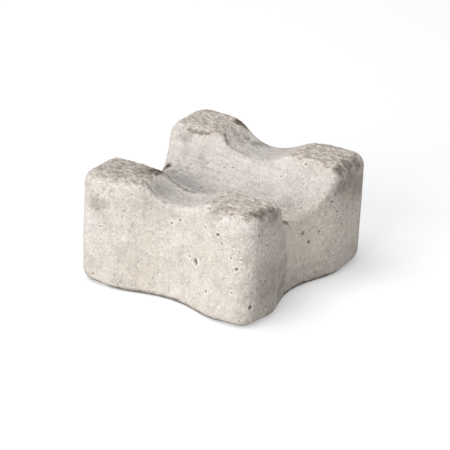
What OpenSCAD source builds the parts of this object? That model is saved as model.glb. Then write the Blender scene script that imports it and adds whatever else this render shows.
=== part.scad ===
// Concrete spacer block for reinforcing bars, cast in one piece.
// The flat base stands on the formwork. Two round-bottomed seats cross on top, and the bar
// lies in one or the other, so the block gives two different covers. The four horns that are
// left between the seats keep the bar from rolling off.
// X runs along the deep seat, Y along the shallow seat, Z up. The origin is the centre of the base.

/* [Covers] */
// Height of the deep seat's floor over the base
deep_cover = 30; // [26:1:36]
// Height of the shallow seat's floor over the base
shallow_cover = 40; // [37:1:44]
// Height of the horns over the shallow seat's floor
horn_rise = 6; // [4:0.5:9]

/* [Block] */
// Width over the horns, along X
block_width = 79; // [72:1:95]
// Depth over the horns, along Y
block_depth = 87; // [80:1:105]
// Radius of the four upright corners
corner_radius = 7; // [6:0.5:10]
// Lean of the sides in degrees, wider at the top, so that the block lifts out of its mould
mould_draft = 0.7; // [0:0.1:2]

/* [Curved-in sides] */
// How far the front and back sides curve in at their middle
front_hollow = 6.1; // [3:0.1:9]
// Radius of the curve in the front and back sides
front_hollow_radius = 29; // [24:1:50]
// How far the left and right sides curve in at their middle
side_hollow = 6; // [3:0.1:9]
// Radius of the curve in the left and right sides
side_hollow_radius = 32; // [24:1:50]
// Length over which the curve runs out into the straight part of a side
hollow_blend = 6.5; // [3:0.5:10]

/* [Bar seats] */
// Radius of the deep seat
deep_seat_radius = 22.4; // [20:0.1:27]
// Radius of the shallow seat at the front of the block
shallow_front_radius = 19; // [14:0.5:30]
// Radius of the shallow seat at the back of the block
shallow_back_radius = 29; // [16:0.5:32]
// Sideways place of the shallow seat's axis at the front
shallow_front_shift = 0.8; // [-2:0.2:2]
// Sideways place of the shallow seat's axis at the back
shallow_back_shift = -1.8; // [-3:0.2:2]
// Length over which the seats round over onto the horns and into each other
seat_blend = 3; // [1.5:0.5:5]

/* [Edges] */
// Radius of the rim round the horns' tops
horn_rim = 5.3; // [3:0.1:6]
// Radius of the rim where a seat runs out through a side
seat_rim = 2.9; // [1:0.1:4]
// Radius of the bottom edge along the sides
base_edge = 1.4; // [0.5:0.1:3]
// Radius of the bottom edge at the corners
base_corner_edge = 5; // [2:0.5:8]

/* [Fineness] */
// Steps across half a seat
seat_steps = 9; // [5:1:11]
// Steps round a rim
rim_steps = 6; // [4:1:8]

/* [Hidden] */
concrete = [0.80, 0.78, 0.74];

block_height = shallow_cover + horn_rise;
deep_seat_depth = block_height - deep_cover;
shallow_seat_depth = horn_rise;

// Past this share of a hollow's radius its wall goes on straight, so that it never turns upright.
steepest_share = 0.96;
// Steps across each seat's lip, from a lip to the corner, round half a corner and round the
// bottom edge.
deep_lip_steps = 4;
shallow_lip_steps = 8;
horn_steps = 6;
corner_steps = 4;
base_steps = 4;
// Distance over which a slope is measured.
probe = 0.01;
// Depth of the skirt that is cut away to leave one flat base.
skirt = 2;
// Share of a side, from its corner, over which the bottom edge's radius changes.
base_fade = 0.6;

// The smaller of two heights, with the edge between them rounded over the length of the blend.
function soft_min(a, b, blend) =
    let (near = max(blend - abs(a - b), 0) / blend)
    min(a, b) - near * near * blend / 4;

function ease(t) =
    let (s = min(max(t, 0), 1))
    s * s * (3 - 2 * s);

function mix(a, b, share) = a + (b - a) * share;

// Rise of a round hollow over its own floor, at a distance from its axis.
function hollow_rise(distance, radius) =
    let (reach = radius * steepest_share)
    let (inside = min(abs(distance), reach))
    let (slope = reach / sqrt(radius * radius - reach * reach))
    radius - sqrt(radius * radius - inside * inside) + max(abs(distance) - reach, 0) * slope;

// Half the width of a round hollow at its mouth.
function half_mouth(radius, depth) =
    let (rest = max(radius - depth, radius * sqrt(1 - steepest_share * steepest_share)))
    sqrt(radius * radius - rest * rest);

// How far a side stands from the centre, at a place along it: straight with round corners,
// and curved in at the middle.
function side_at(place, half_size, half_straight, depth, radius) =
    let (past = max(abs(place) - half_straight, 0))
    let (straight = half_size - corner_radius + sqrt(max(corner_radius * corner_radius - past * past, 0)))
    soft_min(straight, half_size - depth + hollow_rise(place, radius), hollow_blend);

half_width = block_width / 2;
half_depth = block_depth / 2;
straight_x = half_width - corner_radius;
straight_y = half_depth - corner_radius;

function front_side(x) = side_at(x, half_depth, straight_x, front_hollow, front_hollow_radius);
function end_side(y) = side_at(y, half_width, straight_y, side_hollow, side_hollow_radius);

// Height of the top at any place: the horns' flat tops with both seats pressed into them.
// The shallow seat widens towards the back, and its axis is a little askew.
function top_at(x, y) =
    let (back_share = min(max(y / block_depth + 0.5, 0), 1))
    let (shift = mix(shallow_front_shift, shallow_back_shift, back_share))
    let (radius = mix(shallow_front_radius, shallow_back_radius, back_share))
    let (shallow = shallow_cover + hollow_rise(x - shift, radius))
    let (deep = deep_cover + hollow_rise(y, deep_seat_radius))
    soft_min(soft_min(shallow, deep, seat_blend), block_height, seat_blend);

function unit(v) = v / norm(v);

// Direction square to a side at a place along it, as [along, outward].
function side_normal(side, place) =
    unit([-(side(place + probe) - side(place - probe)) / (2 * probe), 1]);

// Rim radius where a side meets the top: small in the seats, large on the horns.
largest_rim = min(horn_rim, corner_radius * 0.85);
function rim_at(height, depth) =
    mix(seat_rim, largest_rim, ease((height - block_height + depth) / depth));

front_line = function (x) front_side(x);
end_line = function (y) end_side(y);
front_rim = function (x) rim_at(top_at(x, front_side(x)), shallow_seat_depth);
end_rim = function (y) rim_at(top_at(end_side(y), y), deep_seat_depth);

// The top's outline lies inside the side by the rim's radius, measured square to the side.
// This finds, by halving, the place on the side that a given place on the top's outline faces.
function facing_place(side, rim, target, low, high, halvings = 30) =
    let (middle = (low + high) / 2)
    let (inner = middle - side_normal(side, middle)[0] * rim(middle))
    halvings == 0 ? middle
    : inner < target ? facing_place(side, rim, target, middle, high, halvings - 1)
    : facing_place(side, rim, target, low, middle, halvings - 1);

// The top's outline beside one line: its distance, the direction square to the side there,
// and the rim's radius.
function edge_at(side, rim, target, reach) =
    let (place = facing_place(side, rim, target, -reach, reach))
    let (normal = side_normal(side, place))
    let (radius = rim(place))
    [side(place) - normal[1] * radius, normal, radius];

// Middle of a round corner, on the block's outline and on the top's outline, measured from the
// corner's own centre. The two families of lines over the top meet there.
corner_mid = corner_radius * sin(45);
top_corner = corner_radius - largest_rim;
reach_x = straight_x + top_corner * sin(45);
reach_y = straight_y + top_corner * sin(45);

// Places of the lines over one half of the top: even in angle across the seat, close together
// over its lip, and then on over the horn and round half the corner.
function half_lines(radius, mouth, lip, lip_steps, straight) =
    let (lip_start = min(mouth - lip, radius * 0.98))
    let (seat_angle = asin(lip_start / radius))
    let (lip_end = min(mouth + lip, straight - 1))
    concat(
        [for (i = [0 : seat_steps]) radius * sin(seat_angle * i / seat_steps)],
        [for (i = [1 : lip_steps]) mix(lip_start, lip_end, i / lip_steps)],
        [for (i = [1 : horn_steps]) mix(lip_end, straight, i / horn_steps)],
        [for (i = [1 : corner_steps]) straight + top_corner * sin(45 * i / corner_steps)]
    );

function both_halves(half) = concat(
    [for (i = [len(half) - 1 : -1 : 1]) -half[i]],
    half
);

// How much of a side's curve a line follows: nothing in the seats, all of it at the sides.
function follow(place, start, reach) =
    sign(place) * ease((abs(place) - start) / (reach - start));

// Half a lip's length, and half the shallow seat's mouth on average and how far it strays from that.
half_lip = seat_blend * 0.6;
shallow_front_mouth = half_mouth(shallow_front_radius, shallow_seat_depth);
shallow_back_mouth = half_mouth(shallow_back_radius, shallow_seat_depth);
shallow_mouth = (shallow_front_mouth + shallow_back_mouth) / 2;
shallow_spread = abs(shallow_back_mouth - shallow_front_mouth) / 2;
shallow_mean_radius = (shallow_front_radius + shallow_back_radius) / 2;
deep_mouth = half_mouth(deep_seat_radius, deep_seat_depth);
lines_x = both_halves(half_lines(
    shallow_mean_radius, shallow_mouth, half_lip + shallow_spread, shallow_lip_steps, straight_x));
lines_y = both_halves(half_lines(
    deep_seat_radius, deep_mouth, half_lip, deep_lip_steps, straight_y));
count_x = len(lines_x);
count_y = len(lines_y);
follow_x = [for (x = lines_x) follow(x, shallow_mouth, reach_x)];
follow_y = [for (y = lines_y) follow(y, deep_mouth + seat_blend, reach_y)];

front_edges = [for (x = lines_x) edge_at(front_line, front_rim, x, straight_x + corner_mid)];
end_edges = [for (y = lines_y) edge_at(end_line, end_rim, y, straight_y + corner_mid)];

// The crossings of the lines, on the top's surface.
function crossing(i, j) =
    let (x = lines_x[i] + follow_x[i] * (end_edges[j][0] - reach_x))
    let (y = lines_y[j] + follow_y[j] * (front_edges[i][0] - reach_y))
    [x, y, top_at(x, y)];

top_points = [for (i = [0 : count_x - 1]) for (j = [0 : count_y - 1]) crossing(i, j)];

// The crossings along the rim, one way round, as pairs of line numbers.
rim_cells = concat(
    [for (i = [0 : count_x - 2]) [i, 0]],
    [for (j = [0 : count_y - 2]) [count_x - 1, j]],
    [for (i = [count_x - 1 : -1 : 1]) [i, count_y - 1]],
    [for (j = [count_y - 1 : -1 : 1]) [0, j]]
);
rim_count = len(rim_cells);
rim_start = [for (c = rim_cells) top_points[c[0] * count_y + c[1]]];
function on_front(cell) = cell[1] == 0 || cell[1] == count_y - 1;
function side_of(value) = value < 0 ? -1 : 1;

// Direction square to the block's side at each of these, and the rim's radius there.
rim_direction = [for (c = rim_cells)
    let (x_side = side_of(lines_x[c[0]]))
    let (y_side = side_of(lines_y[c[1]]))
    let (front = front_edges[c[0]][1])
    let (end = end_edges[c[1]][1])
    on_front(c) ? [front[0], front[1] * y_side] : [end[1] * x_side, end[0]]];
rim_radius = [for (c = rim_cells) on_front(c) ? front_edges[c[0]][2] : end_edges[c[1]][2]];

// Radius of the bottom edge: small along the sides, large round the corners.
function base_radius_at(cell) =
    let (place = on_front(cell) ? abs(lines_x[cell[0]]) / reach_x : abs(lines_y[cell[1]]) / reach_y)
    mix(base_edge, base_corner_edge, ease((place - 1 + base_fade) / base_fade));
base_radius = [for (c = rim_cells) base_radius_at(c)];

// A point of the skin below the rim: so far out from the top's outline, at a height.
function skin_point(k, out, height) =
    let (from = rim_start[k])
    [from[0] + rim_direction[k][0] * out, from[1] + rim_direction[k][1] * out, height];

lean = tan(mould_draft);
function draft_in(height) = lean * (block_height - height);

rim_rows = [for (row = [1 : rim_steps]) for (k = [0 : rim_count - 1])
    let (angle = 90 * row / rim_steps)
    let (radius = rim_radius[k])
    skin_point(
        k,
        radius * sin(angle) - draft_in(rim_start[k][2]),
        rim_start[k][2] - radius * (1 - cos(angle))
    )];

base_rows = [for (row = [0 : base_steps]) for (k = [0 : rim_count - 1])
    let (angle = 90 * row / base_steps)
    let (radius = base_radius[k])
    skin_point(
        k,
        rim_radius[k] - draft_in(radius) - radius * (1 - cos(angle)),
        radius * (1 - sin(angle))
    )];

skirt_row = [for (k = [0 : rim_count - 1])
    skin_point(k, rim_radius[k] - draft_in(base_radius[k]) - base_radius[k], -skirt)];

skin_points = concat(top_points, rim_rows, base_rows, skirt_row, [[0, 0, -skirt]]);

// Number of a point in a row round the block, where row 0 is the edge of the top.
function row_point(row, k) =
    let (turn = k % rim_count)
    row == 0
        ? rim_cells[turn][0] * count_y + rim_cells[turn][1]
        : len(top_points) + (row - 1) * rim_count + turn;

last_row = rim_steps + base_steps + 2;
skin_centre = len(skin_points) - 1;

// The top's cells are cut along the diagonal that runs out towards the nearest corner.
top_faces = [for (i = [0 : count_x - 2]) for (j = [0 : count_y - 2])
    let (a = i * count_y + j)
    let (b = a + count_y)
    let (c = b + 1)
    let (d = a + 1)
    let (towards_corner = (i + 1 - count_x / 2) * (j + 1 - count_y / 2) > 0)
    each towards_corner ? [[a, c, b], [a, d, c]] : [[a, d, b], [b, d, c]]];

side_faces = [for (row = [0 : last_row - 1]) for (k = [0 : rim_count - 1])
    each [
        [row_point(row, k), row_point(row + 1, k + 1), row_point(row + 1, k)],
        [row_point(row, k), row_point(row, k + 1), row_point(row + 1, k + 1)]
    ]];

bottom_faces = [for (k = [0 : rim_count - 1])
    [skin_centre, row_point(last_row, k), row_point(last_row, k + 1)]];

module spacer_block() {
    color(concrete)
    difference() {
        polyhedron(points = skin_points, faces = concat(top_faces, side_faces, bottom_faces), convexity = 6);
        // Everything below the base goes, which leaves one flat face.
        translate([-block_width, -block_depth, -2 * skirt])
            cube([2 * block_width, 2 * block_depth, 2 * skirt]);
    }
}

spacer_block();
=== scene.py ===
# %% [markdown]
# # A cast concrete spacer block
#
# The real thing is a block of sand and cement mortar, about 79 by 87 mm and 46 mm high. It holds
# reinforcing bars off the formwork. It was cast upright in a mould, two round seats were pressed
# into its top, and the four horns between the seats were struck off by hand, so they are rough.
#
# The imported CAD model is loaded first. It fixes the size and the place of everything, and its box
# is kept, so that the finished piece can be compared with it at the end.

# %% The frame
import math
import random

import bmesh
import bpy
from mathutils import Matrix, Vector, noise
from mathutils.bvhtree import BVHTree
from mathutils.kdtree import KDTree


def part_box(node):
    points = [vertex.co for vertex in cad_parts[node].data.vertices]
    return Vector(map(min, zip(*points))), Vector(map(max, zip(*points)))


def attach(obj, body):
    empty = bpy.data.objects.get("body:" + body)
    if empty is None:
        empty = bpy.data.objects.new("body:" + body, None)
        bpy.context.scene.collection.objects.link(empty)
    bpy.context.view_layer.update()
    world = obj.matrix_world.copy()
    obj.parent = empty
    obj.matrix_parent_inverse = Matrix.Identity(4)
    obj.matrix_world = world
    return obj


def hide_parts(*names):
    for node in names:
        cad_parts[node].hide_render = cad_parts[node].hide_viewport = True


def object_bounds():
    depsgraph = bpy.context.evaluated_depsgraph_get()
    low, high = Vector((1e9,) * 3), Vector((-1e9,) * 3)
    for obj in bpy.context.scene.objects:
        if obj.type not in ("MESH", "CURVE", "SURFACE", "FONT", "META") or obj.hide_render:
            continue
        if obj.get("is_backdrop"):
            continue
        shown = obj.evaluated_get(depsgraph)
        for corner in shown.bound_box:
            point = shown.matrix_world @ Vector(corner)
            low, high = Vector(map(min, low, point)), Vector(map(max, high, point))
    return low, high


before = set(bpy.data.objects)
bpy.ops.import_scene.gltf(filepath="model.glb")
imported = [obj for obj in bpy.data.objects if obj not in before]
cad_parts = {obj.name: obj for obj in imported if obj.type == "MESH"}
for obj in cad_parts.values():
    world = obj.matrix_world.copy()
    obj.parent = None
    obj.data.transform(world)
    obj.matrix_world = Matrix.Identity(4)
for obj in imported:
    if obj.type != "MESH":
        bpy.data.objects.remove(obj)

MM = 0.001
SCENE = bpy.context.scene
CAD_NODE = "spacer_block"
cad_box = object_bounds()
low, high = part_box(CAD_NODE)
BLOCK_HEIGHT = (high.z - low.z) / MM
print(f"block: {[round(side / MM, 1) for side in high - low]} mm")

# %% [markdown]
# ## The camera
#
# A product photograph of something this small is taken from far off with a long lens, so that its
# edges stay nearly parallel. The angles and the focal length come from matching the block's outline
# to the photograph. The lens's axis doesn't meet the middle of the picture, which a small lens
# shift gives. The camera is also turned a little about its own axis.

# %% Camera
PICTURE = 450
AXIS_AT = (223.25, 214.99)
FOCAL_LENGTH_IN_PIXELS = 4745.8
SENSOR_MM = 36
DISTANCE = 1.84
turn, rise, roll = (math.radians(angle) for angle in (31.40, 24.03, 2.96))

aim = Vector((0, 0, BLOCK_HEIGHT / 2 * MM))
back = Vector((math.sin(turn) * math.cos(rise), -math.cos(turn) * math.cos(rise), math.sin(rise)))
right = Vector((0, 0, 1)).cross(back).normalized()
across = Matrix.Rotation(roll, 3, back) @ right
upward = back.cross(across)

lens = bpy.data.cameras.new("product_camera")
lens.sensor_width = SENSOR_MM
lens.lens = FOCAL_LENGTH_IN_PIXELS / PICTURE * SENSOR_MM
lens.shift_x = (PICTURE / 2 - AXIS_AT[0]) / PICTURE
lens.shift_y = (AXIS_AT[1] - PICTURE / 2) / PICTURE
lens.clip_start, lens.clip_end = 0.05, 20
camera = bpy.data.objects.new("product_camera", lens)
camera.matrix_world = Matrix((across, upward, back)).transposed().to_4x4()
camera.location = aim + back * DISTANCE
SCENE.collection.objects.link(camera)
SCENE.camera = camera
print(f"camera: {lens.lens:.0f} mm lens, {DISTANCE} m away")

# %% [markdown]
# ## Two small helpers
#
# Colours are written as the hex values that a picture editor shows. Cycles works with linear
# light, so one function turns them. The other one adds a node, with its settings and what goes
# into its sockets, so that a material reads as a list of what it is made of.

# %% Colour and nodes
def linear(hex_colour):
    """Linear RGBA from an sRGB hex value."""
    parts = [int(hex_colour[i:i + 2], 16) / 255 for i in (1, 3, 5)]
    return [c / 12.92 if c <= 0.04045 else ((c + 0.055) / 1.055) ** 2.4 for c in parts] + [1]


def add(tree, kind, sockets=(), **settings):
    """Adds a node. A socket takes a value, or an output to link."""
    node = tree.nodes.new("ShaderNode" + kind)
    for name, value in settings.items():
        setattr(node, name, value)
    for key, value in dict(sockets).items():
        if isinstance(value, bpy.types.NodeSocket):
            tree.links.new(value, node.inputs[key])
        else:
            node.inputs[key].default_value = value
    return node


def blank_material(name):
    """A material whose tree holds nothing but its output."""
    material = bpy.data.materials.new(name)
    material.use_nodes = True
    tree = material.node_tree
    for node in list(tree.nodes):
        tree.nodes.remove(node)
    return material, tree


# %% [markdown]
# ## Floor, backdrop and lamps
#
# The photograph has a white background and a soft shadow to the right. The floor is a pale painted
# board. Only to the camera it also glows a little, so that it comes out white without more light
# on the block, and it still goes darker where the block keeps the lamps off. The world does the
# same: it is white to the camera and in reflections, and to everything else it is a dim sky, a
# little warm, as the walls of a room make the shaded sides.

# %% Floor and world
FLOOR_SIZE = 6.0
FLOOR_GLOW = 0.35

floor_mesh = bpy.data.meshes.new("floor_board")
work = bmesh.new()
bmesh.ops.create_grid(work, x_segments=1, y_segments=1, size=FLOOR_SIZE / 2)
work.to_mesh(floor_mesh)
work.free()
floor = bpy.data.objects.new("floor_board", floor_mesh)
SCENE.collection.objects.link(floor)
floor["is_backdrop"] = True

paint, tree = blank_material("matt_white_board")
rays = add(tree, "LightPath")
ends = {0: rays.outputs["Is Camera Ray"], 1: rays.outputs["Is Glossy Ray"]}
seen = add(tree, "Math", ends, operation="MAXIMUM")
seen = add(tree, "Math", {0: seen.outputs[0], 1: rays.outputs["Is Transmission Ray"]}, operation="MAXIMUM")
board = add(tree, "BsdfDiffuse", {"Color": linear("#EBEEF2")})
glow_strength = add(tree, "Math", {0: seen.outputs[0], 1: FLOOR_GLOW}, operation="MULTIPLY")
glow = add(tree, "Emission", {"Color": linear("#FFFFFF"), "Strength": glow_strength.outputs[0]})
both = add(tree, "AddShader", {0: board.outputs[0], 1: glow.outputs[0]})
add(tree, "OutputMaterial", {"Surface": both.outputs[0]})
floor_mesh.materials.append(paint)

SKY = 0.35
world = bpy.data.worlds.new("studio")
world.use_nodes = True
tree = world.node_tree
tree.nodes.clear()
rays = add(tree, "LightPath")
ends = {0: rays.outputs["Is Camera Ray"], 1: rays.outputs["Is Glossy Ray"]}
seen = add(tree, "Math", ends, operation="MAXIMUM")
seen = add(tree, "Math", {0: seen.outputs[0], 1: rays.outputs["Is Transmission Ray"]}, operation="MAXIMUM")
strength = add(tree, "MapRange", {"Value": seen.outputs[0], "To Min": SKY, "To Max": 1.0})
tint = add(tree, "Mix", {0: seen.outputs[0], 6: linear("#FFFBF6"), 7: linear("#FFFFFF")}, data_type="RGBA")
sky = add(tree, "Background", {"Color": tint.outputs[2], "Strength": strength.outputs[0]})
add(tree, "OutputWorld", {"Surface": sky.outputs[0]})
SCENE.world = world

# %% Lamps
def soft_box(name, azimuth, elevation, size, power, distance=1.2):
    """A square lamp that looks at the block. Azimuth 0 is in front, along -Y, and 90 along +X."""
    lamp = bpy.data.lights.new(name, "AREA")
    lamp.shape, lamp.size, lamp.energy = "SQUARE", size, power
    a, e = math.radians(azimuth), math.radians(elevation)
    towards = Vector((math.sin(a) * math.cos(e), -math.cos(a) * math.cos(e), math.sin(e)))
    box = bpy.data.objects.new(name, lamp)
    box.location = aim + towards * distance
    box.rotation_euler = towards.to_track_quat("Z", "Y").to_euler()
    SCENE.collection.objects.link(box)
    return box


soft_box("key_light", -3, 20, 0.9, 11)
soft_box("top_light", -54, 66, 0.9, 5.9)
SCENE.view_settings.view_transform = "Standard"
print("lamps: key in front on the left, a weaker one overhead")

# %% [markdown]
# ## The block's own mesh
#
# The CAD solid has the right form, but its triangles are long and thin, and roughness needs an
# even mesh. Subdividing long triangles keeps them long. A voxel remesh instead lays an even net of
# small squares over a merged copy of the solid. It can be as fine as the limit of triangles lets
# it be, and the flat base, which needs no net, is made plain again.

# %% Even net over the solid
VOXEL = 0.66 * MM
MERGE = 0.002 * MM
BASE_BAND = 0.12 * MM

work = bmesh.new()
work.from_mesh(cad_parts[CAD_NODE].data)
bmesh.ops.remove_doubles(work, verts=work.verts, dist=MERGE)
block_mesh = bpy.data.meshes.new("cast_block")
work.to_mesh(block_mesh)
work.free()
block = bpy.data.objects.new("cast_block", block_mesh)
SCENE.collection.objects.link(block)
net = block.modifiers.new("even_net", "REMESH")
net.mode, net.voxel_size = "VOXEL", VOXEL
evened = block.evaluated_get(bpy.context.evaluated_depsgraph_get())
block_mesh = bpy.data.meshes.new_from_object(evened)
block.modifiers.clear()
block.data = block_mesh
block_mesh.name = "cast_block"

skin = bmesh.new()
skin.from_mesh(block_mesh)
for vert in skin.verts:
    if vert.co.z < BASE_BAND:
        vert.co.z = 0
skin.normal_update()
flat = [face for face in skin.faces if all(vert.co.z == 0 for vert in face.verts)]
print(f"net: {len(skin.faces)} squares, {len(flat)} of them on the base")

# %%
bmesh.ops.dissolve_faces(skin, faces=flat, use_verts=True)
skin.verts.ensure_lookup_table()
print(f"after the base is plain: {len(skin.faces)} faces")

# %% [markdown]
# ## Where the tops are rough
#
# Striking off drags grains of sand over the fresh mortar and tears it, so the horns' tops are
# rough down to a ragged line a little below their highest point. Everywhere else the mould and the
# stamp left a smooth skin. One function says how rough a place is. The net is made twice as fine
# there, and round the larger air pores.

# %% The struck tops
STRUCK_FROM = 43.7
STRUCK_FADE = 1.8


def ease(value):
    """0 below 0, 1 above 1, and smooth between."""
    share = min(max(value, 0), 1)
    return share * share * (3 - 2 * share)


def struck_at(place):
    """How rough a place is, from 0 to 1. Places are in mm."""
    ragged = noise.noise(place / 4.5) * 0.9 + noise.noise(place / 1.5) * 0.9
    return ease((place.z - STRUCK_FROM + ragged) / STRUCK_FADE)


rough_faces = [face for face in skin.faces if struck_at(face.calc_center_median() / MM) > 0.05]
rough_edges = list({edge for face in rough_faces for edge in face.edges})
bmesh.ops.subdivide_edges(skin, edges=rough_edges, cuts=1, use_grid_fill=True)
print(f"struck tops: {len(rough_faces)} squares made finer")

# %% [markdown]
# ## Air pores
#
# Bubbles that sat against the mould leave small round pits. A few large ones are put where the
# photograph shows them, and the rest are strewn with a fixed seed, so that each run gives the same
# block. Rays are shot at the block from all round and from above, so pores land on its skin.

# %% Places of the pores
NAMED_PORES = (
    (-30.1, -43.4, 43.0, 0.5), (-15.7, -39.9, 42.5, 0.5), (-15.6, -39.9, 33.2, 0.5),
    (-28.5, -43.4, 25.5, 0.5), (-18.5, -41.0, 22.5, 0.8), (9.4, -38.5, 21.8, 0.6),
    (13.0, -39.7, 21.0, 1.3), (24.6, -43.4, 36.9, 0.7), (26.5, -43.4, 33.7, 0.5),
    (30.7, -43.3, 29.0, 0.5), (33.4, -43.2, 25.0, 0.7), (31.8, -43.1, 14.7, 0.5),
    (39.4, -31.4, 32.6, 0.6), (39.3, -31.5, 25.8, 0.5), (38.3, -20.8, 19.2, 0.5),
    (33.5, -5.6, 9.5, 0.5), (39.2, -31.1, 17.4, 0.6), (39.0, -29.1, 6.0, 0.7),
    (38.3, -39.5, 9.2, 0.9), (33.6, 4.7, 23.1, 0.9), (34.2, 8.5, 18.2, 0.8),
    (34.7, 9.9, 23.9, 0.4), (38.9, 23.4, 24.4, 0.5), (37.7, 18.4, 32.6, 0.6),
    (14.9, 16.9, 37.8, 0.4), (-32.2, 9.2, 32.0, 0.9), (17.7, -41.8, 37.6, 0.5),
    (19.8, -42.2, 11.5, 0.6), (39.4, -37.6, 38.7, 0.6), (37.0, -17.3, 16.0, 0.5),
    (39.1, -32.9, 12.6, 0.5), (34.5, -10.4, 3.1, 0.6), (35.6, 13.1, 21.3, 0.6),
)
STREWN_PORES = 130
draw = random.Random(3390)
surface = BVHTree.FromBMesh(skin)
pores = [(Vector(spot[:3]), spot[3]) for spot in NAMED_PORES]
while len(pores) < len(NAMED_PORES) + STREWN_PORES:
    if draw.random() < 0.7:
        angle = draw.uniform(0, math.tau)
        start = Vector((math.cos(angle) * 90, math.sin(angle) * 90, draw.uniform(2, 43)))
        aimed_at = Vector((draw.uniform(-30, 30), draw.uniform(-30, 30), start.z))
    else:
        start = Vector((draw.uniform(-38, 38), draw.uniform(-42, 42), 90))
        aimed_at = start - Vector((0, 0, 90))
    found = surface.ray_cast(start * MM, (aimed_at - start).normalized())[0]
    size = 0.25 + 0.35 * draw.random() ** 3
    if found and struck_at(found / MM) == 0:
        pores.append((found / MM, size))
print(f"pores: {len(pores)}")

# %% Finer net round the pores
PORE_MARGIN = 0.5
tree_of_verts = KDTree(len(skin.verts))
skin.verts.ensure_lookup_table()
for index, vert in enumerate(skin.verts):
    tree_of_verts.insert(vert.co, index)
tree_of_verts.balance()
near_pores = set()
for spot, size in pores:
    for _, index, _ in tree_of_verts.find_range(spot * MM, (size + PORE_MARGIN) * MM):
        near_pores.add(skin.verts[index])
pore_edges = [edge for edge in skin.edges if edge.verts[0] in near_pores and edge.verts[1] in near_pores]
bmesh.ops.subdivide_edges(skin, edges=pore_edges, cuts=2, use_grid_fill=True)
skin.normal_update()
print(f"net: {len(skin.verts)} points")

# %% [markdown]
# ## The cast surface
#
# Each point of the net moves along its normal. Slow waves make the sides a little uneven, as wood or rubber moulds
# do. The struck tops are torn into small ledges and grains, always inwards, so the block stays inside its CAD box.
# Pores are round pits. How torn or how deep a place is goes into attributes that the material reads, so that
# colour and shape agree: the material paints shade into the low parts of the torn tops, at the foot of each ledge
# and inside the pores.

# %% Torn tops
WAVE, RIPPLE = 0.22, 0.08
TORN = 0.42
LEDGE = 2.3


def torn_at(place):
    """The torn surface's height, about -1 to 1, and how near it is to the foot of a ledge."""
    lumps = noise.fractal(place / 3.2, 0.8, 2.2, 4)
    flake = noise.noise(place / LEDGE) * 2.6 + noise.noise(place / 0.9) * 0.25
    along = flake - math.floor(flake)
    step = math.floor(flake) + ease(along * 4 - 1)
    grain = noise.voronoi(place / 1.3)[0][0]
    return lumps * 0.5 + step * 0.35 + (0.35 - grain) * 0.5, ease(1.2 - abs(along - 0.27) * 7)


struck_layer = skin.verts.layers.float.new("struck")
hollow_layer = skin.verts.layers.float.new("hollow")
moves = []
for vert in skin.verts:
    place = vert.co / MM
    rough = struck_at(place)
    move = noise.noise(place / 23) * WAVE + noise.noise(place / 7) * RIPPLE
    if rough > 0:
        torn, ledge_foot = torn_at(place)
        move = move * (1 - rough) + rough * TORN * (min(torn, 0.6) - 0.6)
        # Painted shade: the low parts of the torn surface and the foot of each ledge are marked to be painted
        # darker.
        vert[hollow_layer] = rough * min(max(0.15 - torn * 0.6, 0) + 0.6 * ledge_foot, 1)
    vert[struck_layer] = rough
    moves.append(move)
print(f"struck tops: {sum(1 for vert in skin.verts if vert[struck_layer] > 0.5)} points")

# %% Pores
PORE_DEPTH = 0.9
HALO_REACH = 2.0

pore_shade_layer = skin.verts.layers.float.new("pore_shade")
halo_layer = skin.verts.layers.float.new("halo")
points = KDTree(len(skin.verts))
for index, vert in enumerate(skin.verts):
    points.insert(vert.co, index)
points.balance()
skin.verts.ensure_lookup_table()
for spot, size in pores:
    for where, index, distance in points.find_range(spot * MM, size * MM * HALO_REACH):
        share = distance / (size * MM)
        vert = skin.verts[index]
        moves[index] -= math.sqrt(max(1 - share * share, 0)) * size * PORE_DEPTH
        # Painted shade: the inside of each pit is marked to be painted darker, more in larger pits.
        vert[pore_shade_layer] = max(vert[pore_shade_layer], ease(1.6 - share * 1.3) * min(size * 1.35, 1))
        vert[halo_layer] = max(vert[halo_layer], ease(share * 3 - 2.7) * ease((HALO_REACH - share) * 1.6))
for vert, move in zip(skin.verts, moves):
    moved = vert.co + vert.normal * move * MM * ease(vert.co.z / MM / 1.5)
    vert.co = [min(max(c, least), most) for c, least, most in zip(moved, low, high)]
skin.normal_update()
print(f"points moved: {len(moves)}")
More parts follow.
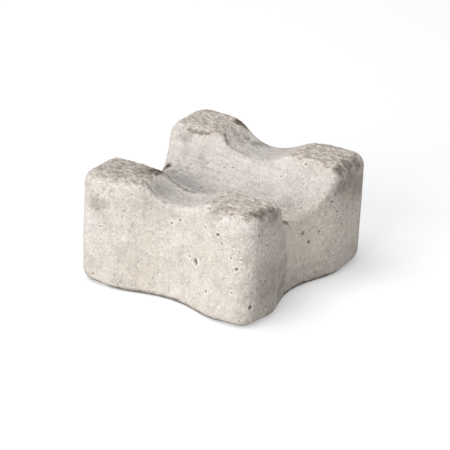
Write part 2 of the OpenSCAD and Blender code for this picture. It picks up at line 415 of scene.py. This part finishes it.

# %% [markdown]
# ## Faces turned up, dark marks, and painted light and shade
#
# Faces that point up, most of all the stamped seats, are painted cooler and paler: painted light from above. In
# two places in the seats they are painted nearly slate grey. Patches of the shaded right side are painted paler,
# which is painted light. Darker marks go at the foot, at the horns' inner tips, in the corners of the seats'
# mouths and in blotches that the real block shows. Some of it is dirt. The band at the foot is painted shade where
# the block meets the floor, with some grime. The thin lines along the seats' lips, the crease and the flank of the
# front lobe on the right side, and the near saddle also get painted shade.

# %% Places with a colour of their own
# Painted shade with some grime: FOOT is the height of a dark band at the foot, where the block meets the floor,
# and FOOT_FADE its fade.
FOOT, FOOT_FADE = 2.2, 1.2
# Blue-grey seat patches, painted darker; the one at (-9.0, -31.0, 42.0) on the near saddle is painted shade.
COOL_PLACES = [
    (-21.9, 1.0, 30.1, 7.5, 0.8), (-12.3, -5.0, 30.6, 7.5, 0.8), (26.7, 4.0, 31.1, 7.0, 0.7),
    (-9.0, -31.0, 42.0, 5.0, 0.3), (2.0, 34.0, 40.0, 9.0, 0.3),
]
# Painted light: these patches of the shaded right side are painted paler.
PAINTED_LIGHT_PLACES = [
    (34.5, -4.0, 24.0, 14.0, 0.9), (34.5, 8.0, 20.0, 12.0, 0.8), (39.4, -35.2, 31.9, 4.0, 0.4),
    (39.5, 30.0, 18.0, 8.0, 0.35),
]
DIRT_AND_SHADE_PLACES = [
    # Dirt and stains, and painted shade: the marks on the right side below 28 mm with y from -27 to -10 lie on the
    # crease and the flank of the front lobe, and the wide, weak one at (-4.0, -35.0, 39.5) lies on the near
    # saddle.
    (-16.3, -24.4, 45.9, 2.8, 1.0), (-19.5, -27.0, 46.0, 4.5, 0.45), (-29.0, -31.0, 45.0, 11.0, 0.15),
    (-18.0, 37.8, 44.8, 2.0, 1.0), (-16.2, 38.3, 44.0, 1.4, 0.9), (-14.4, 38.3, 43.0, 1.2, 0.6),
    (-32.2, 9.2, 32.0, 1.3, 1.0), (-32.7, 8.0, 31.2, 1.2, 0.9), (-31.0, 4.0, 30.0, 4.0, 0.25),
    (37.6, 23.1, 44.5, 2.6, 0.7), (37.7, 28.8, 44.7, 3.0, 0.6), (38.1, 34.2, 44.2, 2.6, 0.6),
    (39.5, 28.0, 39.1, 4.5, 0.45), (39.4, 33.8, 35.0, 5.0, 0.35), (39.0, 23.0, 37.5, 3.5, 0.5),
    (36.2, -34.2, 45.6, 3.0, 0.6), (37.3, -30.3, 44.9, 3.0, 0.6), (38.5, -27.0, 44.0, 3.0, 0.6),
    (30.9, -6.5, 30.8, 2.2, 1.0), (35.4, -12.4, 24.7, 3.0, 0.3), (34.4, -10.0, 16.1, 4.5, 0.35),
    (34.5, -10.1, 8.9, 4.0, 0.35), (-30.7, -43.4, 34.4, 3.4, 0.35), (-27.5, -43.4, 35.2, 2.4, 0.3),
    (38.5, -27.0, 15.0, 9.0, 0.22), (36.5, -15.0, 27.0, 4.0, 0.3), (36.5, -15.0, 16.0, 5.0, 0.35),
    (36.5, -15.0, 7.0, 4.0, 0.35), (-30.3, 19.4, 41.2, 2.6, 0.25), (22.0, -41.0, 43.5, 3.0, 0.3),
    (-4.0, -35.0, 39.5, 9.0, 0.15), (-6.6, 31.9, 40.5, 1.8, 0.45), (-10.8, 32.6, 41.6, 1.6, 0.45),
    (-11.1, 28.0, 41.8, 1.6, 0.35), (-4.8, 34.2, 40.2, 2.2, 0.4), (-14.4, 30.0, 43.3, 2.0, 0.35),
    (-21.1, 15.7, 36.4, 1.3, 0.25), (-18.3, 14.2, 35.1, 1.1, 0.25), (-28.5, 15.5, 36.5, 2.0, 0.12),
]
# Painted shade: thin dark lines along the seats' lips and ridges, where the surface turns sharply.
LIP_SHADE_LINES = (
    # reach, power, and the points that the line runs through
    (0.7, 0.6, (-14.9, -22.6, 45.2), (-11, -22.6, 43), (-7.8, -22.4, 41.4), (-4.1, -22.2, 40.2), (0.6, -22, 39.6)),
    (0.5, 0.35, (-14, -34.6, 45.4), (-11, -36.2, 43.8), (-8, -36.7, 41.8), (-4.4, -36.5, 40), (4, -35.6, 40.2)),
    (0.7, 0.6, (-16.4, 24.8, 44.5), (-14.5, 22.8, 43.5), (-12.3, 20.9, 42.3)),
    (0.6, 0.35, (-11.9, 21.1, 42.2), (-9.4, 20.9, 41.3), (-6.5, 21.5, 40.6), (-2.8, 22.3, 40.1)),
    (0.8, 0.45, (37, -26, 45), (38.8, -25.4, 43.2), (36, -19, 40.5), (34, -12.5, 33.8), (30.9, -6.5, 30.8)),
    (0.8, 0.6, (-30.4, 20.7, 43.8), (-24.8, 20.8, 43.9), (-20.5, 22.0, 44.5)),
)


def along(reach, power, *points):
    """Spots at even steps along a line."""
    spots = []
    for start, end in zip(points, points[1:]):
        steps = math.ceil((Vector(end) - Vector(start)).length / reach)
        spots += [(*Vector(start).lerp(Vector(end), step / steps), reach, power) for step in range(steps)]
    return spots


def mark(layer, spots):
    """Raises a layer near each spot, with ragged edges."""
    for x, y, z, reach, power in spots:
        for where, index, distance in points.find_range(Vector((x, y, z)) * MM, reach * 3 * MM):
            ragged = 1 + noise.noise(where / MM / 1.4) * 0.7
            vert = skin.verts[index]
            vert[layer] = max(vert[layer], power * ease(1.5 - distance / MM / reach * ragged))


pressed_layer = skin.verts.layers.float.new("pressed")
cool_layer = skin.verts.layers.float.new("cool")
dirt_and_shade_layer = skin.verts.layers.float.new("dirt_and_shade")
painted_light_layer = skin.verts.layers.float.new("painted_light")
foot_shade_and_grime_layer = skin.verts.layers.float.new("foot")
skin.verts.ensure_lookup_table()
mark(cool_layer, COOL_PLACES)
mark(painted_light_layer, PAINTED_LIGHT_PLACES)
mark(dirt_and_shade_layer, DIRT_AND_SHADE_PLACES)
for line in LIP_SHADE_LINES:
    mark(dirt_and_shade_layer, along(*line))
for vert in skin.verts:
    place = vert.co / MM
    # Painted light: faces that point up get a cooler, paler colour, as light from above gives them.
    vert[pressed_layer] = ease((vert.normal.z - 0.3) / 0.3) * (1 - vert[struck_layer])
    vert[cool_layer] *= vert[pressed_layer]
    # Painted shade with some grime: a dark band at the foot, where the block meets the floor.
    vert[foot_shade_and_grime_layer] = ease((FOOT - place.z + noise.noise(place / 3.0) * 0.6) / FOOT_FADE)
print("pressed, cool, pale and dirty places marked")

# %% Finished mesh
for face in skin.faces:
    face.smooth = len(face.verts) < 6
skin.to_mesh(block_mesh)
skin.free()
block_mesh.calc_loop_triangles()
print(f"cast_block: {len(block_mesh.loop_triangles)} triangles")

# %% [markdown]
# ## Cast cement mortar
#
# Pale grey cement with washed sand, cast and left raw: quite matt, warm grey, cloudy at about 20 mm, mottled at
# about 5 and 1.5 mm, with single pale and dark sand grains. Faces that point up, mostly the seats, are painted
# cooler and paler as painted light from above, with fine streaks across them. The struck tops are sandy and full
# of thin shadows, with painted shade in their low parts and at the foot of each ledge. The pores have painted
# shade inside. Paler painted light lies on the shaded right side, and dirt and painted shade lie over all of it.

# %% Patterns in the mortar
mortar, tree = blank_material("cast_cement_mortar")
place = add(tree, "TexCoord").outputs["Object"]
NO_STRETCH = (1, 1, 1)
PATTERNS = {
    # name: size in mm, stretch, the noise's two ends and what they give
    "cloud": (20, NO_STRETCH, 0.35, 0.65, 0.0, 1.0),
    "mottle": (5, NO_STRETCH, 0.42, 0.72, 0.0, 1.0),
    "patch": (6, NO_STRETCH, 0.35, 0.65, 0.0, 1.0),
    "streak": (1.3, (0.12, 1, 0.6), 0.45, 0.75, 0.0, 0.8),
    "sand": (1.2, NO_STRETCH, 0.35, 0.65, 0.0, 1.0),
    "crumb": (1.8, NO_STRETCH, 0.36, 0.62, 0.2, 1.0),
    "speck": (1.0, NO_STRETCH, 0.61, 0.69, 0.0, 0.6),
    "relief": (1.6, NO_STRETCH, 0.3, 0.7, 0.0, 1.0),
    "grain": (1.9, NO_STRETCH, 0.35, 0.65, 0.95, 1.04),
    "fine_grain": (0.9, NO_STRETCH, 0.35, 0.65, 0.87, 1.09),
}
amount = {}
for name, (size, stretch, low_end, high_end, to_low, to_high) in PATTERNS.items():
    where = add(tree, "Mapping", {"Vector": place, "Scale": stretch})
    source = add(tree, "TexNoise", {"Vector": where.outputs[0], "Scale": 1 / (size * MM), "Detail": 4.0})
    ends = {"From Min": low_end, "From Max": high_end, "To Min": to_low, "To Max": to_high}
    amount[name] = add(tree, "MapRange", {"Value": source.outputs[0], **ends}).outputs[0]
for name in ("pressed", "cool", "painted_light", "struck", "hollow", "halo", "pore_shade", "dirt_and_shade", "foot"):
    amount[name] = add(tree, "Attribute", attribute_name=name).outputs["Fac"]
print("patterns:", ", ".join(amount))

# %% Sand grains in the mortar
SAND_MM = 1.4
cells = add(tree, "TexVoronoi", {"Vector": place, "Scale": 1 / (SAND_MM * MM)})
grain = add(tree, "MapRange", {"Value": cells.outputs["Distance"], "From Min": 0.36, "From Max": 0.2})
pick = add(tree, "SeparateColor", {"Color": cells.outputs["Color"]})
for name, part, limit in (("pale_sand", 0, 0.84), ("dark_sand", 1, 0.87)):
    picked = add(tree, "Math", {0: pick.outputs[part], 1: limit}, operation="GREATER_THAN")
    both = add(tree, "Math", {0: picked.outputs[0], 1: grain.outputs[0]}, operation="MULTIPLY")
    amount[name] = both.outputs[0]

# %% Colours of the mortar, one over the other
LAYERS = (
    # colour, strength, and the patterns that it follows
    ("#D9D1CB", 1.0, "cloud"),
    ("#C3BBB2", 1.0, "mottle"),
    # Painted light: a cooler, paler colour on faces that point up, with fine streaks across them.
    ("#D5CFCA", 0.85, "pressed"),
    ("#E2DDD8", 0.85, "pressed", "patch"),
    ("#B3ADA8", 0.5, "pressed", "streak"),
    # Darker blue grey in the listed seat patches; on the near saddle it is painted shade.
    ("#9C9A9D", 0.8, "cool"),
    # Painted light: paler patches on the shaded right side.
    ("#F3EADD", 0.85, "painted_light"),
    ("#6F675B", 0.7, "speck"),
    ("#F1EBE2", 0.5, "pale_sand"),
    ("#6F675B", 0.65, "dark_sand", "crumb"),
    ("#D6CDC5", 1.0, "struck"),
    ("#E6DED7", 1.0, "struck", "sand"),
    # Painted shade in the torn tops' low parts and at the foot of each ledge.
    ("#93887D", 1.0, "hollow"),
    ("#FAF4EA", 0.9, "halo", "crumb"),
    # Painted shade inside the pores.
    ("#6E655A", 1.0, "pore_shade"),
    # Dirt and stains, with painted shade on the front lobe's crease and flank, along the seats' lips and on the
    # near saddle.
    ("#574B3B", 0.6, "dirt_and_shade"),
    ("#4A4034", 0.9, "dirt_and_shade", "crumb"),
    # Painted shade at the foot, where the block meets the floor, with some grime.
    ("#574E42", 0.85, "foot"),
)
colour = linear("#D1C9BD")
for hex_colour, share, *followed in LAYERS:
    for name in followed:
        share = add(tree, "Math", {0: share, 1: amount[name]}, operation="MULTIPLY").outputs[0]
    mixed = add(tree, "Mix", {0: share, 6: colour, 7: linear(hex_colour)}, data_type="RGBA")
    colour = mixed.outputs[2]
for name in ("grain", "fine_grain"):
    colour = add(tree, "VectorMath", {0: colour, 1: amount[name]}, operation="MULTIPLY").outputs[0]
print(f"mortar: {len(LAYERS)} layers of colour")

# %% Mortar, finish
BUMP_MM = 0.32
bumps = add(tree, "Bump", {"Height": amount["relief"], "Distance": BUMP_MM * MM, "Strength": 1.0})
shader = add(tree, "BsdfPrincipled", {"Base Color": colour, "Roughness": 0.9, "Normal": bumps.outputs[0]})
add(tree, "OutputMaterial", {"Surface": shader.outputs[0]})
block_mesh.materials.clear()
block_mesh.materials.append(mortar)

# %% Tie the piece to the CAD model
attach(block, "root")
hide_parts(CAD_NODE)
new_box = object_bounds()
for name, box in (("CAD", cad_box), ("visual", new_box)):
    print(name, [[round(c / MM, 2) for c in corner] for corner in box])
